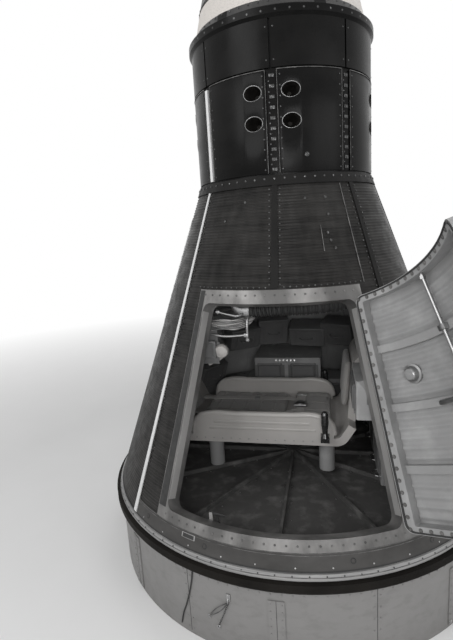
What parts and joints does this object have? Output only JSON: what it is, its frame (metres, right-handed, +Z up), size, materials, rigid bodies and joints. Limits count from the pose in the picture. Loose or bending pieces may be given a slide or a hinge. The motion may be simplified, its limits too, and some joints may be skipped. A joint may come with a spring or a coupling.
{
  "type": "space capsule",
  "caption": "Upright one-man ballistic space capsule on its adapter ring, with a corrugated cone, a black cylinder with thruster ports, a dished shield and an open side hatch.",
  "frame": {"origin": "centre of the adapter ring's foot, on the floor", "axes": "+Z up along the capsule's axis, -Y out through the side hatch, +X towards the occupant's feet and the periscope door, -X towards the head and the window"},
  "size_m": [1.8918, 2.4108, 2.972],
  "materials": {
    "cabin_grey": "satin",
    "cone_shingle": "satin oxide black",
    "couch_glassfibre": "satin",
    "cylinder_black": "glossy",
    "dielectric": "matt",
    "fairing_black": "satin",
    "glass": "clear",
    "instrument_black": "gloss",
    "light_metal": "brushed",
    "pad_fabric": "woven",
    "panel_grey": "matt",
    "ring_paint": "satin",
    "scanner": "satin",
    "shield_ablator": "matt, slightly rough",
    "steel": "brushed"
  },
  "bodies": {
    "capsule": {"adapter_flange": "ring_paint", "adapter_ring": "ring_paint", "adapter_splices": "ring_paint", "adapter_stiffener": "ring_paint", "base_ring": "light_metal", "cabin_floor": "cabin_grey", "clamp_ring": "cylinder_black", "cone_battens": "cone_shingle", "couch_legs": "cabin_grey", "couch_pads": "pad_fabric", "couch_shell": "couch_glassfibre", "cylinder_core": "cylinder_black", "cylinder_panels_lower": "cylinder_black", "cylinder_panels_upper": "cylinder_black", "cylinder_seams": "cylinder_black", "dielectric_band": "dielectric", "equipment_rack": "cabin_grey", "fairing_rings": "fairing_black", "hand_controllers": "instrument_black", "hatch_frame": "light_metal", "heat_shield": "shield_ablator", "horizon_scanners": "scanner", "instrument_case": "cabin_grey", "instrument_dials": "instrument_black", "instrument_panel": "panel_grey", "jamb_hinges": "steel", "jamb_left": "cone_shingle", "jamb_right": "cone_shingle", "left_console": "cabin_grey", "lintel_left": "cone_shingle", "lintel_right": "cone_shingle", "nose_cap": "fairing_black", "oxygen_unit": "cabin_grey", "panel_brackets": "cabin_grey", "rear_left": "cone_shingle", "rear_right": "cone_shingle", "right_console": "cabin_grey", "scope_head": "instrument_black", "scope_pins": "steel", "scope_screen": "glass", "side_left_front": "cone_shingle", "side_left_rear": "cone_shingle", "side_right_front": "cone_shingle", "side_right_rear": "cone_shingle", "side_strip": "light_metal", "sill": "cone_shingle", "thrusters": "steel", "top_bulkhead": "cabin_grey", "top_ring": "cone_shingle", "window_frame": "light_metal", "window_glass": "glass"},
    "hatch": {"hatch_skin": "cone_shingle", "hatch_edge": "cabin_grey", "hatch_beams": "cabin_grey", "hatch_handle": "steel", "hatch_hinges": "steel"},
    "periscope_door": {"scope_door": "cone_shingle"},
    "nose_flap": {"nose_flap": "fairing_black"}
  },
  "joints": [
    {"name": "hatch_hinge", "type": "hinge", "parent": "capsule", "child": "hatch", "pos_m": [0.39721, -0.63388, 0.88447], "axis": [-0.1762, 0.2932, 0.9397], "range_deg": [-115, 25]},
    {"name": "periscope_door_hinge", "type": "hinge", "parent": "capsule", "child": "periscope_door", "pos_m": [0.78542, 0, 0.75804], "axis": [0, 1, 0], "range_deg": [0, 95]},
    {"name": "nose_flap_hinge", "type": "hinge", "parent": "capsule", "child": "nose_flap", "pos_m": [0, 0, 2.966], "axis": [0, -1, 0], "range_deg": [0, 90]}
  ]
}
